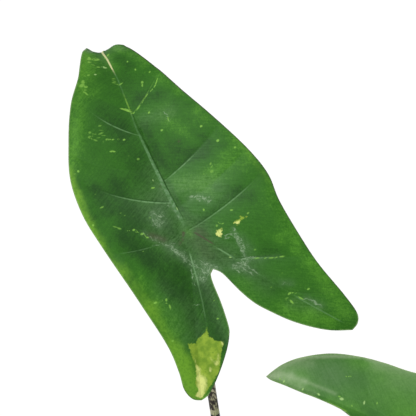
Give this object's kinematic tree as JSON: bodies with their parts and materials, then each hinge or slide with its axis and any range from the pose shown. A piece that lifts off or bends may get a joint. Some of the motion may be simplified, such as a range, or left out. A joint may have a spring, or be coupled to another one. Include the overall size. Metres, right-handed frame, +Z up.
{
  "type": "potted zebrina alocasia",
  "caption": "Alocasia with arrow-shaped leaves on zebra-marked stalks rising from a short rhizome, in a plain tapered clay pot filled with soil.",
  "frame": {"origin": "middle of the pot's flat underside, where the part rests", "axes": "+Z up along the pot's axis; the reference view looks along +Y with +X to the right, so the tallest blade turns its upper face towards -Y and the second blade points along +X"},
  "size_m": [0.4723, 0.3759, 0.616],
  "materials": {
    "clay": "matte",
    "earth": "matte",
    "cork": "matte",
    "stalk": "satin",
    "leaf": "satin"
  },
  "bodies": {
    "root": {"pot": "clay", "soil": "earth", "rhizome": "cork", "leaf_1_petiole": "stalk", "leaf_1_blade": "leaf", "leaf_2_petiole": "stalk", "leaf_2_blade": "leaf", "leaf_3_petiole": "stalk", "leaf_3_blade": "leaf", "leaf_4_petiole": "stalk", "leaf_4_blade": "leaf"}
  },
  "joints": []
}
